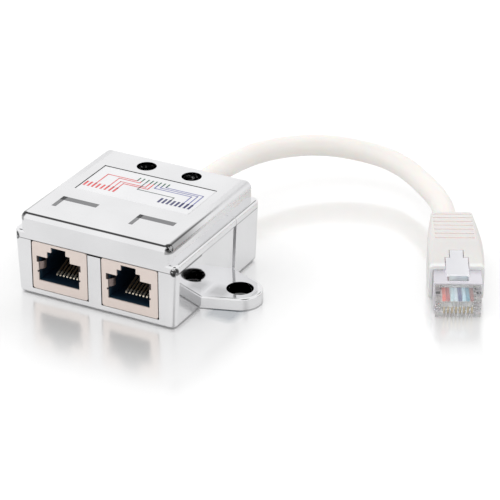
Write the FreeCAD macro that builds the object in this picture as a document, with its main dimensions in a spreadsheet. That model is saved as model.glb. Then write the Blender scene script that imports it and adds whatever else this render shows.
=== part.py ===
import FreeCAD, Part
import math
import os
from types import SimpleNamespace

import Sketcher
from FreeCAD import Placement, Rotation, Vector

# Twin-socket network adapter: a plated box with two shielded eight-way sockets in its front
# face, a screw ear on each side and a short cable with a booted, shielded plug at the back.
# Millimetres. The origin is the middle of the housing's foot, -Y is the socket face, +Z is up.

SIZES = {
    # Housing: a tray and a lid that meet at the seam
    "housing_width": 48.2,
    "housing_depth": 45.6,
    "housing_height": 23.0,
    "seam_height": 15.8,
    "corner_radius": 2.0,
    "foot_draft": 0.7,
    "foot_round": 1.0,
    "wall": 2.0,
    "floor_thickness": 1.2,
    "lip_height": 2.2,
    "lip_round": 0.8,
    "lid_inset": 1.8,
    "lid_back_inset": 0.4,
    "lid_round": 1.8,
    "roof_thickness": 1.8,
    "rail_width": 1.0,
    "rail_drop": 1.5,
    "rail_length": 30.0,
    "panel_recess": 0.4,
    "mullion_drop": 0.45,
    # Screw ears
    "ear_reach": 6.2,
    "ear_tip_radius": 6.0,
    "ear_hole_radius": 3.6,
    "ear_thickness": 3.3,
    "ear_round": 0.6,
    "ear_middle": -0.4,
    "ear_root_front": 8.9,
    "ear_root_back": 9.7,
    # Lid screws and the posts that take them
    "screw_spacing": 13.68,
    "screw_setback": 6.3,
    "screw_head_radius": 2.4,
    "screw_head_height": 1.5,
    "screw_shank_radius": 1.3,
    "screw_length": 11.0,
    "screw_slot": 0.7,
    "screw_slot_depth": 0.8,
    "counterbore_radius": 2.7,
    "counterbore_depth": 3.2,
    "post_radius": 2.8,
    "post_wall": 0.7,
    "running_gap": 0.3,
    "snug_gap": 0.05,
    # Recesses in the lid's top and the label that lies in one
    "label_width": 34.0,
    "label_setback": 10.8,
    "label_length": 15.8,
    "label_recess": 0.3,
    "label_margin": 0.2,
    "label_thickness": 0.15,
    "mark_inner": 6.0,
    "mark_outer": 16.9,
    "mark_setback": 7.3,
    "mark_length": 6.2,
    "mark_depth": 0.6,
    # Circuit board on two ribs
    "board_width": 40.0,
    "board_setback": 5.0,
    "board_back_setback": 9.9,
    "board_height": 1.8,
    "board_thickness": 1.6,
    "rib_width": 1.5,
    "rib_spacing": 34.0,
    # Sockets: a folded shield round a moulded insert
    "jack_spacing": 20.8,
    "jack_width": 16.4,
    "jack_round": 0.6,
    "jack_side_gap": 0.3,
    "jack_foot": 2.05,
    "jack_top": 15.6,
    "jack_length": 21.0,
    "jack_gap": 0.15,
    "sheet": 0.4,
    "chin_depth": 4.5,
    "socket_offset": -0.3,
    "socket_width": 12.2,
    "socket_floor": 4.6,
    "socket_height": 7.0,
    "step_width": 6.9,
    "step_height": 1.8,
    "notch_width": 4.4,
    "notch_height": 1.5,
    "socket_depth": 13.0,
    # Spring contacts of a socket
    "contact_spacing": 1.02,
    "contact_width": 0.45,
    "contact_thickness": 0.35,
    "contact_start": 4.6,
    "contact_bend": 0.45,
    "contact_rise": 20.0,
    "contact_free": 7.4,
    "contact_tail": 17.0,
    "contact_slot": 0.6,
    # Cable, its gland and the conductors behind it
    "cable_radius": 3.0,
    "cable_height": 12.3,
    "gland_half_width": 3.8,
    "gland_round": 3.4,
    "gland_flange": 0.8,
    "gland_flange_depth": 1.2,
    "conductor_radius": 0.48,
    "wire_spacing": 1.2,
    "wire_landing": 2.9,
    "wire_bend": 3.0,
    # Plug, in its own frame: nose at zero, boot to the back, widths across
    "nose_across": 84.05,
    "nose_along": 17.25,
    "plug_turn": 26.9,
    "plug_tilt": 6.3,
    "plug_width": 11.68,
    "plug_length": 21.5,
    "nose_height": 6.55,
    "nose_rise": 0.35,
    "nose_length": 3.2,
    "body_foot": 0.35,
    "body_top": 7.85,
    "plug_sheet": 0.3,
    "blade_width": 0.35,
    "blade_slot": 0.55,
    "blade_slot_height": 3.2,
    "blade_slot_length": 6.2,
    "blade_setback": 0.25,
    "blade_foot": 0.5,
    "blade_round": 0.9,
    "channel_floor": 4.0,
    "channel_roof": 5.9,
    "channel_width": 9.2,
    "channel_front": 1.2,
    "window_front": 4.4,
    "window_back": 6.9,
    "window_half": 2.7,
    "latch_root_half": 2.4,
    "latch_root_front": 4.6,
    "latch_root_back": 5.6,
    "latch_root_top": 8.95,
    "latch_half": 2.85,
    "latch_shoulder": 12.9,
    "latch_tail_half": 1.65,
    "latch_end": 16.0,
    "latch_foot_front": 8.45,
    "latch_foot_back": 9.27,
    "latch_thickness": 0.62,
    "boot_front": 9.4,
    "boot_length": 27.6,
    "boot_gap": 0.08,
    "boot_cable_offset": -1.2,
    "slot_clearance": 4.0,
    "groove_width": 0.7,
    "groove_depth": 0.4,
    "groove_first": 22.1,
    "groove_spacing": 2.25,
    "groove_half": 5.2,
}
GROOVES = 7
WAYS = 8
# Sections of the boot from front to back: share of its length, half width, foot, top, corner
BOOT_SECTIONS = ((0.0, 7.1, -1.0, 9.3, 1.2), (0.38, 7.2, -1.0, 9.9, 1.6),
                 (0.62, 6.8, -0.8, 9.6, 1.8), (0.8, 6.25, -0.5, 9.1, 1.6), (1.0, 5.6, -0.1, 8.3, 1.2))
# Corners of the cable's route between the gland and the boot
ROUTE = ((0.0, 35.5, 12.3), (1.8, 51.1, 12.3), (6.3, 64.1, 11.7), (16.3, 75.4, 10.6),
         (29.4, 79.6, 9.4), (40.2, 77.5, 8.6), (53.2, 67.5, 8.3))
ROUTE_LAST_RUN = 8.5


class Size:
    """A number together with the sheet formula that it comes from."""

    def __init__(self, number, formula=None):
        self.number = float(number)
        self.formula = formula or repr(float(number))

    def mixed(self, other, sign, number):
        return Size(number, f"({self.formula} {sign} {other.formula})")

    def __add__(self, other):
        other = sized(other)
        return self.mixed(other, "+", self.number + other.number)

    def __sub__(self, other):
        other = sized(other)
        return self.mixed(other, "-", self.number - other.number)

    def __mul__(self, other):
        other = sized(other)
        return self.mixed(other, "*", self.number * other.number)

    def __truediv__(self, other):
        other = sized(other)
        return self.mixed(other, "/", self.number / other.number)

    def __radd__(self, other):
        return sized(other) + self

    def __rsub__(self, other):
        return sized(other) - self

    def __rmul__(self, other):
        return sized(other) * self

    def __neg__(self):
        return sized(0.0) - self

    def __float__(self):
        return self.number


def sized(value):
    return value if isinstance(value, Size) else Size(value)


def sine(angle):
    return Size(math.sin(math.radians(angle.number)), f"sin({angle.formula} * 1 deg)")


def cosine(angle):
    return Size(math.cos(math.radians(angle.number)), f"cos({angle.formula} * 1 deg)")


doc = FreeCAD.newDocument("network_adapter")
sheet = doc.addObject("Spreadsheet::Sheet", "Sizes")
for row, (name, number) in enumerate(SIZES.items(), start=1):
    sheet.set(f"A{row}", name.replace("_", " "))
    sheet.set(f"B{row}", str(number))
    sheet.setAlias(f"B{row}", name)
doc.recompute()
size = SimpleNamespace(**{name: Size(number, f"Sizes.{name}") for name, number in SIZES.items()})

HALF_WIDTH = size.housing_width / 2
HALF_DEPTH = size.housing_depth / 2
BOARD_TOP = size.board_height + size.board_thickness
LID_RISE = size.housing_height - size.seam_height
LABEL_BACK = HALF_DEPTH - size.label_setback
LABEL_FRONT = LABEL_BACK - size.label_length
MARK_FRONT = size.mark_setback - HALF_DEPTH
BOARD_BACK = HALF_DEPTH - size.board_back_setback
NODES = []


def bind(thing, name, value):
    """Ties one property of an object to the sheet."""
    thing.setExpression(name, sized(value).formula)


def new_body(name):
    body = doc.addObject("PartDesign::Body", name)
    body.Label = name
    NODES.append(body)
    return body


def origin_feature(body, role):
    return next(item for item in body.Origin.OriginFeatures if item.Role == role)


def new_sketch(body, name, plane, level):
    """Sketch on one of the body's own origin planes, moved along the plane's normal by level."""
    sketch = body.newObject("Sketcher::SketchObject", name)
    sketch.AttachmentSupport = (origin_feature(body, plane + "_Plane"), [""])
    sketch.MapMode = "FlatFace"
    bind(sketch, "AttachmentOffset.Base.z", level)
    return sketch


def fix(sketch, constraints):
    """Adds constraints given as (arguments, value) and ties each value to the sheet."""
    built = [Sketcher.Constraint(*arguments, *([] if value is None else [sized(value).number]))
             for arguments, value in constraints]
    first = sketch.ConstraintCount
    sketch.addConstraint(built)
    for index, (arguments, value) in enumerate(constraints, start=first):
        if isinstance(value, Size):
            sketch.setExpression(f"Constraints[{index}]", value.formula)


def direction(here, there):
    """Unit step from one corner towards the next along X or Y."""
    across = sized(there[0]).number - sized(here[0]).number
    along = sized(there[1]).number - sized(here[1]).number
    return (math.copysign(1, across), 0) if abs(across) > abs(along) else (0, math.copysign(1, along))


def rounded(corners):
    """Turns each (x, y, radius) corner of a square-cornered outline into a quarter arc."""
    ends = []
    for index, corner in enumerate(corners):
        if len(corner) != 3:
            ends.append(corner)
            continue
        x, y, radius = corner
        back_x, back_y = direction(corner, corners[index - 1])
        next_x, next_y = direction(corner, corners[(index + 1) % len(corners)])
        left_turn = back_x * next_y - back_y * next_x < 0
        centre = (x + radius * (back_x + next_x), y + radius * (back_y + next_y))
        ends.append((x + radius * back_x, y + radius * back_y))
        ends.append((x + radius * next_x, y + radius * next_y, centre, radius, left_turn))
    return ends


def draw(sketch, corners):
    """Closed outline of lines and arcs, with every corner tied to the sheet.

    A corner is (x, y), (x, y, radius) for a rounded square corner, or
    (x, y, centre, radius, left_turn) for the far end of an arc from the corner before."""
    ends = rounded(corners)
    geometry, starts, finishes = [], [], []
    for index, start in enumerate(ends):
        end = ends[(index + 1) % len(ends)]
        here, there = (Vector(sized(p[0]).number, sized(p[1]).number, 0) for p in (start, end))
        if len(end) == 2:
            geometry.append(Part.LineSegment(here, there))
            starts.append(1)
            finishes.append(2)
            continue
        centre = Vector(*(sized(value).number for value in end[2]), 0)
        first, last = (here, there) if end[4] else (there, here)
        angles = [math.atan2(p.y - centre.y, p.x - centre.x) for p in (first, last)]
        circle = Part.Circle(centre, Vector(0, 0, 1), sized(end[3]).number)
        sweep_end = angles[1] + 2 * math.pi * (angles[1] < angles[0])
        geometry.append(Part.ArcOfCircle(circle, angles[0], sweep_end))
        starts.append(1 if end[4] else 2)
        finishes.append(2 if end[4] else 1)
    sketch.addGeometry(geometry, False)
    constraints = []
    for index, start in enumerate(ends):
        following = (index + 1) % len(ends)
        constraints.append((("Coincident", index, finishes[index], following, starts[following]), None))
        constraints.append((("DistanceX", -1, 1, index, starts[index]), start[0]))
        constraints.append((("DistanceY", -1, 1, index, starts[index]), start[1]))
        if len(ends[following]) == 5:
            constraints.append((("Radius", index), ends[following][3]))
    fix(sketch, constraints)
    return sketch


def outline(body, name, plane, level, corners):
    return draw(new_sketch(body, name, plane, level), corners)


def circles(body, name, plane, level, rounds):
    """Sketch of full circles, each (x, y, radius)."""
    sketch = new_sketch(body, name, plane, level)
    for index, (x, y, radius) in enumerate(rounds):
        centre = Vector(sized(x).number, sized(y).number, 0)
        sketch.addGeometry(Part.Circle(centre, Vector(0, 0, 1), sized(radius).number), False)
        fix(sketch, [(("DistanceX", -1, 1, index, 3), x), (("DistanceY", -1, 1, index, 3), y),
                     (("Radius", index), radius)])
    return sketch


def block(left, right, low, high, radius=None):
    """Corners of a rectangle, rounded where a radius is given."""
    corners = [(left, low), (right, low), (right, high), (left, high)]
    return corners if radius is None else [(x, y, radius) for x, y in corners]


def pad(body, sketch, length, backwards=False, both_ways=False):
    feature = body.newObject("PartDesign::Pad", sketch.Name + "_pad")
    feature.Profile = sketch
    bind(feature, "Length", length)
    feature.Reversed = backwards
    feature.Midplane = both_ways
    return feature


def pocket(body, sketch, depth, backwards=False):
    feature = body.newObject("PartDesign::Pocket", sketch.Name + "_pocket")
    feature.Profile = sketch
    bind(feature, "Length", depth)
    feature.Reversed = backwards
    return feature


def loft(body, sections):
    feature = body.newObject("PartDesign::AdditiveLoft", body.Name + "_loft")
    feature.Profile = sections[0]
    feature.Sections = sections[1:]
    return feature


def repeat(body, originals, axis, spacing, count):
    """Evenly spaced copies of features along one of the body's axes."""
    doc.recompute()
    feature = body.newObject("PartDesign::LinearPattern", originals[0].Name + "_row")
    feature.Originals = originals
    feature.Direction = (origin_feature(body, axis + "_Axis"), [""])
    bind(feature, "Length", spacing * (count - 1))
    feature.Occurrences = count
    body.Tip = feature
    return feature


def round_edges(body, name, radius, wanted):
    """Fillet on the tip's edges whose box passes the test."""
    doc.recompute()
    base = body.Tip
    chosen = [f"Edge{number}" for number, edge in enumerate(base.Shape.Edges, start=1)
              if wanted(edge.BoundBox)]
    feature = body.newObject("PartDesign::Fillet", name)
    feature.Base = (base, chosen)
    bind(feature, "Radius", radius)
    return feature


def at_height(height):
    level = sized(height).number
    return lambda box: abs(box.ZMin - level) < 1e-4 and abs(box.ZMax - level) < 1e-4


def way(index):
    """Place of one of the eight contacts across a socket or plug."""
    return size.contact_spacing * (index - (WAYS - 1) / 2)


def sides():
    return (("left", -1), ("right", 1))


def add_ear(body, name, side):
    """Flat ear: a round tip joined to the wall by two tangent edges."""
    root = side * (HALF_WIDTH - size.foot_draft - size.foot_round)
    centre = side * (HALF_WIDTH + size.ear_reach)
    front = size.ear_middle - size.ear_root_front
    back = size.ear_middle + size.ear_root_back
    sketch = new_sketch(body, name, "XY", 0)
    middle = Vector(centre.number, size.ear_middle.number, 0)
    radius = size.ear_tip_radius.number
    corners, touches = [Vector(root.number, y.number, 0) for y in (front, back)], []
    for corner, turn in zip(corners, (-1, 1)):
        away = corner - middle
        angle = math.atan2(away.y, away.x) - side * turn * math.acos(radius / away.Length)
        touches.append(middle + Vector(math.cos(angle), math.sin(angle), 0) * radius)
    start, end = (math.atan2(p.y - middle.y, p.x - middle.x) for p in (touches[::side]))
    arc = Part.ArcOfCircle(Part.Circle(middle, Vector(0, 0, 1), radius), start,
                           end + 2 * math.pi * (end < start))
    sketch.addGeometry([Part.LineSegment(corners[0], touches[0]), arc,
                        Part.LineSegment(touches[1], corners[1]),
                        Part.LineSegment(corners[1], corners[0])], False)
    at_front, at_back = (1, 2) if side > 0 else (2, 1)
    fix(sketch, [(("Tangent", 0, 2, 1, at_front), None), (("Tangent", 1, at_back, 2, 1), None),
                 (("Coincident", 2, 2, 3, 1), None), (("Coincident", 3, 2, 0, 1), None),
                 (("Radius", 1), size.ear_tip_radius),
                 (("DistanceX", -1, 1, 1, 3), centre), (("DistanceY", -1, 1, 1, 3), size.ear_middle),
                 (("DistanceX", -1, 1, 0, 1), root), (("DistanceY", -1, 1, 0, 1), front),
                 (("DistanceX", -1, 1, 2, 2), root), (("DistanceY", -1, 1, 2, 2), back)])
    pad(body, sketch, size.ear_thickness)
    hole = circles(body, name + "_hole", "XY", size.ear_thickness,
                   [(centre, size.ear_middle, size.ear_hole_radius)])
    pocket(body, hole, size.ear_thickness)


def cut_side_panel(body, name, side):
    """Shallow recess in the drafted side wall, from the ear's top up to the seam."""
    def face(height):
        inset = size.panel_recess + size.foot_draft * (1 - height / size.seam_height)
        return side * (HALF_WIDTH - inset)

    low, high = size.ear_thickness, size.seam_height + 1
    outer = side * (HALF_WIDTH + 1)
    panel = outline(body, name, "XZ", size.ear_root_front - size.ear_middle,
                    [(face(low), low), (outer, low), (outer, high), (face(high), high)])
    pocket(body, panel, size.ear_root_front + size.ear_root_back)


def screw_places():
    place = HALF_DEPTH - size.screw_setback
    return [(side * size.screw_spacing / 2, place) for _, side in sides()]


def make_base():
    """Tray: drafted, recessed sides, open-topped cut-outs, cable notch, posts, ribs and ears."""
    body = new_body("base_housing")
    foot_half = HALF_WIDTH - size.foot_draft
    front_view = outline(body, "front_view", "XZ", 0,
                         [(-foot_half, 0), (foot_half, 0), (HALF_WIDTH, size.seam_height),
                          (-HALF_WIDTH, size.seam_height)])
    pad(body, front_view, size.housing_depth, both_ways=True)
    tall = size.seam_height.number * 0.9
    round_edges(body, "corner_rounding", size.corner_radius, lambda box: box.ZLength > tall)
    round_edges(body, "foot_rounding", size.foot_round, at_height(0))
    inner_x, inner_y = HALF_WIDTH - size.wall, HALF_DEPTH - size.wall
    hollow = outline(body, "hollow", "XY", size.seam_height,
                     block(-inner_x, inner_x, -inner_y, inner_y, size.corner_radius / 2))
    pocket(body, hollow, size.seam_height - size.floor_thickness)
    half_cut = size.jack_width / 2 + size.jack_side_gap
    for name, side in sides():
        middle = side * size.jack_spacing / 2
        cut = outline(body, name + "_cut_out", "XZ", HALF_DEPTH,
                      block(middle - half_cut, middle + half_cut,
                            size.jack_foot - size.jack_gap, size.seam_height + 1))
        pocket(body, cut, size.wall * 1.25)
    mullion = outline(body, "mullion_top", "XZ", HALF_DEPTH,
                      block(-size.jack_spacing / 2, size.jack_spacing / 2,
                            size.seam_height - size.mullion_drop, size.seam_height + 1))
    pocket(body, mullion, size.wall * 1.25)
    low = size.cable_height - size.gland_half_width
    notch = outline(body, "cable_notch", "XZ", -HALF_DEPTH,
                    [(-size.gland_half_width, low, size.gland_round),
                     (size.gland_half_width, low, size.gland_round),
                     (size.gland_half_width, size.seam_height + 1),
                     (-size.gland_half_width, size.seam_height + 1)])
    pocket(body, notch, size.wall * 1.25, backwards=True)
    posts = circles(body, "posts", "XY", size.floor_thickness / 2,
                    [(x, y, size.post_radius) for x, y in screw_places()])
    pad(body, posts, size.seam_height - size.floor_thickness / 2)
    pilots = circles(body, "pilots", "XY", size.seam_height,
                     [(x, y, size.screw_shank_radius + size.snug_gap) for x, y in screw_places()])
    pocket(body, pilots, size.screw_length)
    rib_back = BOARD_BACK - size.rib_width
    rib_front = size.board_setback - HALF_DEPTH + size.rib_width
    for name, side in sides():
        middle = side * size.rib_spacing / 2
        rib = outline(body, name + "_rib", "XY", size.floor_thickness / 2,
                      block(middle - size.rib_width / 2, middle + size.rib_width / 2,
                            rib_front, rib_back))
        pad(body, rib, size.board_height - size.floor_thickness / 2)
        add_ear(body, name + "_ear", side)
    beyond = (HALF_WIDTH + size.ear_hole_radius / 2).number
    hole_edge = (size.ear_hole_radius * 2).number
    round_edges(body, "ear_rounding", size.ear_round,
                lambda box: at_height(size.ear_thickness)(box)
                and max(abs(box.XMin), abs(box.XMax)) > beyond
                and abs(box.YLength - hole_edge) > 0.01)
    for name, side in sides():
        cut_side_panel(body, name + "_panel", side)


def make_lid():
    """Lid: a lip that continues the walls, a raised flat top, recesses and screw counterbores."""
    body = new_body("lid")
    lip = outline(body, "lip", "XY", size.seam_height,
                  block(-HALF_WIDTH, HALF_WIDTH, -HALF_DEPTH, HALF_DEPTH, size.corner_radius))
    pad(body, lip, size.lip_height)
    round_edges(body, "lip_rounding", size.lip_round, at_height(size.seam_height + size.lip_height))
    top_x, top_back = HALF_WIDTH - size.lid_inset, HALF_DEPTH - size.lid_back_inset
    top = outline(body, "raised_top", "XY", size.seam_height,
                  block(-top_x, top_x, -HALF_DEPTH, top_back, size.corner_radius))
    pad(body, top, LID_RISE)
    round_edges(body, "top_rounding", size.lid_round, at_height(size.housing_height))
    hollow = outline(body, "lid_hollow", "XY", size.seam_height,
                     block(size.wall - top_x, top_x - size.wall, size.wall - HALF_DEPTH,
                           top_back - size.wall, size.corner_radius / 2))
    pocket(body, hollow, LID_RISE - size.roof_thickness, backwards=True)
    sleeves = circles(body, "screw_sleeves", "XY", size.seam_height,
                      [(x, y, size.counterbore_radius + size.post_wall) for x, y in screw_places()])
    pad(body, sleeves, LID_RISE - size.roof_thickness / 2)
    bores = circles(body, "counterbores", "XY", size.housing_height,
                    [(x, y, size.counterbore_radius) for x, y in screw_places()])
    pocket(body, bores, size.counterbore_depth)
    holes = circles(body, "screw_holes", "XY", size.seam_height,
                    [(x, y, size.screw_shank_radius + size.running_gap) for x, y in screw_places()])
    pocket(body, holes, LID_RISE, backwards=True)
    recess = outline(body, "label_bed", "XY", size.housing_height,
                     block(-size.label_width / 2, size.label_width / 2, LABEL_FRONT, LABEL_BACK))
    pocket(body, recess, size.label_recess)
    for name, side in sides():
        near, far = side * size.mark_inner, side * size.mark_outer
        mark = outline(body, name + "_mark", "XY", size.housing_height,
                       block(min(near, far, key=float), max(near, far, key=float),
                             MARK_FRONT, MARK_FRONT + size.mark_length))
        pocket(body, mark, size.mark_depth)
        outer = side * (HALF_WIDTH - size.wall - size.jack_gap)
        inner = outer - side * size.rail_width
        rail = outline(body, name + "_rail", "XY", size.seam_height - size.rail_drop,
                       block(min(inner, outer, key=float), max(inner, outer, key=float),
                             -size.rail_length / 2, size.rail_length / 2))
        pad(body, rail, size.rail_drop + size.lip_height / 2)


def make_label():
    """Thin wiring label that lies in the lid's shallow bed."""
    body = new_body("wiring_label")
    half = size.label_width / 2 - size.label_margin
    sheet_outline = outline(body, "label_sheet", "XY", size.housing_height - size.label_recess,
                            block(-half, half, LABEL_FRONT + size.label_margin,
                                  LABEL_BACK - size.label_margin))
    pad(body, sheet_outline, size.label_thickness)


def make_screw(name, side):
    """Pan-head screw with a cross recess, seated in the lid's counterbore."""
    body = new_body(name)
    x, y = side * size.screw_spacing / 2, HALF_DEPTH - size.screw_setback
    seat = size.housing_height - size.counterbore_depth
    shank = circles(body, name + "_shank", "XY", seat, [(x, y, size.screw_shank_radius)])
    pad(body, shank, size.screw_length, backwards=True)
    head = circles(body, name + "_head", "XY", seat, [(x, y, size.screw_head_radius)])
    pad(body, head, size.screw_head_height)
    top = seat + size.screw_head_height
    round_edges(body, name + "_crown", size.screw_head_height / 2, at_height(top))
    arm, half = size.screw_head_radius * 0.62, size.screw_slot / 2
    cross = outline(body, name + "_cross", "XY", top,
                    [(x - arm, y - half), (x - half, y - half), (x - half, y - arm),
                     (x + half, y - arm), (x + half, y - half), (x + arm, y - half),
                     (x + arm, y + half), (x + half, y + half), (x + half, y + arm),
                     (x - half, y + arm), (x - half, y + half), (x - arm, y + half)])
    pocket(body, cross, size.screw_slot_depth)


def make_board():
    body = new_body("circuit_board")
    board = outline(body, "board", "XY", size.board_height,
                    block(-size.board_width / 2, size.board_width / 2,
                          size.board_setback - HALF_DEPTH, BOARD_BACK))
    pad(body, board, size.board_thickness)


def socket_profile(jack_middle):
    """Front view of the plug opening: main zone, a step and the latch's notch above it."""
    middle = jack_middle + size.socket_offset
    floor, roof = size.socket_floor, size.socket_floor + size.socket_height
    step, top = roof + size.step_height, roof + size.step_height + size.notch_height
    wide, mid, slim = size.socket_width / 2, size.step_width / 2, size.notch_width / 2
    return [(middle - wide, floor), (middle + wide, floor), (middle + wide, roof),
            (middle + mid, roof), (middle + mid, step), (middle + slim, step),
            (middle + slim, top), (middle - slim, top), (middle - slim, step),
            (middle - mid, step), (middle - mid, roof), (middle - wide, roof)]


def make_shield(name, middle):
    """Folded metal shield: front plate with the opening, sides, top and a chin below."""
    body = new_body(name)
    half = size.jack_width / 2
    inner = half - size.sheet
    whole = outline(body, name + "_outer", "XZ", HALF_DEPTH,
                    block(middle - half, middle + half, size.jack_foot, size.jack_top, size.jack_round))
    pad(body, whole, size.jack_length, backwards=True)
    chin_level = HALF_DEPTH - size.chin_depth
    step = outline(body, name + "_board_step", "XZ", chin_level,
                   block(middle - half - 1, middle + half + 1, size.jack_foot - 1, BOARD_TOP))
    pocket(body, step, size.jack_length)
    hollow = outline(body, name + "_hollow", "XZ", HALF_DEPTH - size.jack_length,
                     block(middle - inner, middle + inner, BOARD_TOP - 1, size.jack_top - size.sheet))
    pocket(body, hollow, size.jack_length - size.chin_depth, backwards=True)
    front_hollow = outline(body, name + "_front_hollow", "XZ", chin_level,
                           block(middle - inner, middle + inner, size.jack_foot + size.sheet,
                                 size.jack_top - size.sheet))
    pocket(body, front_hollow, size.chin_depth - size.sheet, backwards=True)
    opening = outline(body, name + "_opening", "XZ", HALF_DEPTH, socket_profile(middle))
    pocket(body, opening, size.sheet * 1.5)


def make_insert(name, middle):
    """Moulded insert: the plug's cavity over a comb of eight contact slots."""
    body = new_body(name)
    half = size.jack_width / 2 - size.sheet - size.snug_gap
    top = size.jack_top - size.sheet - size.snug_gap
    face = HALF_DEPTH - size.sheet
    main = outline(body, name + "_main", "XZ", face,
                   block(middle - half, middle + half, BOARD_TOP, top))
    pad(body, main, size.jack_length - size.sheet - size.jack_gap, backwards=True)
    chin = outline(body, name + "_chin", "XZ", face,
                   block(middle - half, middle + half,
                         size.jack_foot + size.sheet + size.snug_gap, BOARD_TOP + 0.5))
    pad(body, chin, size.chin_depth - size.sheet - size.jack_gap, backwards=True)
    cavity = outline(body, name + "_cavity", "XZ", face, socket_profile(middle))
    pocket(body, cavity, size.socket_depth - size.sheet)
    first = middle + size.socket_offset + way(0)
    slot_front = size.contact_start - size.running_gap - HALF_DEPTH
    slot_back = size.contact_tail + size.running_gap - HALF_DEPTH
    slot = outline(body, name + "_slot", "XY", BOARD_TOP,
                   block(first - size.contact_slot / 2, first + size.contact_slot / 2,
                         slot_front, slot_back))
    cut = pocket(body, slot, size.socket_floor - BOARD_TOP + 0.1, backwards=True)
    repeat(body, [cut], "X", size.contact_spacing, WAYS)


def make_contacts(name, middle):
    """Eight flat springs: a foot on the board, a tight bend in front and a rising free end."""
    body = new_body(name)
    inner, outer = size.contact_bend, size.contact_bend + size.contact_thickness
    centre_y = size.contact_start + outer - HALF_DEPTH
    centre_z = BOARD_TOP + outer
    rise_y, rise_z = cosine(size.contact_rise), sine(size.contact_rise)
    tail = size.contact_tail - HALF_DEPTH

    def leave(radius, run):
        return centre_y - radius * rise_z + run * rise_y, centre_z + radius * rise_y + run * rise_z

    centre = (centre_y, centre_z)
    strip = outline(body, name + "_strip", "YZ", middle + size.socket_offset + way(0),
                    [(centre_y, centre_z - outer, centre, outer, True),
                     (tail, centre_z - outer), (tail, centre_z - inner),
                     (centre_y, centre_z - inner), (*leave(inner, 0), centre, inner, False),
                     leave(inner, size.contact_free), leave(outer, size.contact_free),
                     leave(outer, 0)])
    repeat(body, [pad(body, strip, size.contact_width, both_ways=True)], "X",
           size.contact_spacing, WAYS)


def cable_gland():
    """Over-moulded gland: a neck that fills the notch and a flange inside the wall."""
    body = new_body("cable_gland")
    for name, grow, level, depth in (
            ("neck", -size.snug_gap, -HALF_DEPTH, size.wall),
            ("flange", size.gland_flange, size.wall - HALF_DEPTH, size.gland_flange_depth)):
        half, low = size.gland_half_width + grow, size.cable_height - size.gland_half_width - grow
        shape = outline(body, "gland_" + name, "XZ", level,
                        [(-half, low, size.gland_round), (half, low, size.gland_round),
                         (half, size.seam_height), (-half, size.seam_height)])
        pad(body, shape, depth)


def shape_node(name, shape):
    node = doc.addObject("Part::Feature", name)
    node.Label = name
    node.Shape = shape
    NODES.append(node)
    return node


def pipe(path, radius):
    """Round tube along straight runs joined by tangent arcs."""
    start, heading = path.OrderedVertexes[0].Point, path.OrderedEdges[0].tangentAt(0)
    ring = Part.Wire(Part.Circle(start, heading, radius).toShape())
    return path.makePipe(Part.Face(ring))


def bent_path(points, radii):
    """Wire through the points, each inner corner replaced by an arc of the given radius."""
    edges, start = [], points[0]
    for index, radius in enumerate(radii, start=1):
        corner = points[index]
        back, on = (points[index - 1] - corner).normalize(), (points[index + 1] - corner).normalize()
        half_turn = (math.pi - back.getAngle(on)) / 2
        reach = radius * math.tan(half_turn)
        middle = corner + (back + on).normalize() * (radius / math.cos(half_turn) - radius)
        edges.append(Part.LineSegment(start, corner + back * reach).toShape())
        edges.append(Part.Arc(corner + back * reach, middle, corner + on * reach).toShape())
        start = corner + on * reach
    edges.append(Part.LineSegment(start, points[-1]).toShape())
    return Part.Wire(edges)


def make_board_wires():
    """Eight insulated conductors from the gland down to the board."""
    gland_face = HALF_DEPTH - size.wall - size.gland_flange_depth
    start_y = (gland_face - size.jack_gap).number
    spacing, top = size.contact_spacing.number, size.cable_height.number
    landing_y = (BOARD_BACK - size.wire_landing).number
    tubes = []
    for index in range(WAYS):
        place = index - (WAYS - 1) / 2
        row = spacing / 2 if index % 2 else -spacing / 2
        start = Vector(place * spacing / 2, start_y, top + row)
        corner = Vector(place * size.wire_spacing.number, landing_y, top + row)
        landing = Vector(corner.x, corner.y, BOARD_TOP.number)
        path = bent_path([start, corner, landing], [size.wire_bend.number])
        tubes.append(pipe(path, size.conductor_radius.number))
    shape_node("board_wires", Part.makeCompound(tubes))


def plug_placement():
    turn = Rotation(Vector(0, 0, 1), size.plug_turn.number)
    tilt = Rotation(Vector(1, 0, 0), size.plug_tilt.number)
    return Placement(Vector(size.nose_across.number, size.nose_along.number, 0), turn * tilt)


def make_cable():
    """Round cable from the gland to the boot, through the chosen corners."""
    placement = plug_placement()
    boot_axis = (size.body_foot.number + size.body_top.number) / 2
    boot_back = Vector(size.boot_cable_offset.number,
                       (size.boot_front + size.boot_length).number, boot_axis)
    end = placement.multVec(boot_back)
    last = placement.multVec(boot_back + Vector(0, ROUTE_LAST_RUN, 0))
    start = Vector(0, HALF_DEPTH.number, size.cable_height.number)
    points = [start, *(Vector(*corner) for corner in ROUTE), last, end]
    radii = []
    for before, corner, after in zip(points, points[1:], points[2:]):
        back, on = before - corner, after - corner
        shorter = min(back.Length, on.Length)
        radii.append(0.45 * shorter / math.tan((math.pi - back.getAngle(on)) / 2))
    path = bent_path(points, radii)
    radius = size.cable_radius.number
    tube = pipe(path, radius)
    drift = tube.Volume / (math.pi * radius ** 2 * path.Length) - 1
    print("cable length", round(path.Length, 2), "volume drift", round(drift, 5))
    print("bend radii", [round(value, 1) for value in radii])
    assert abs(drift) < 0.002, "the cable's volume is not its section times its length"
    shape_node("cable", tube)


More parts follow.
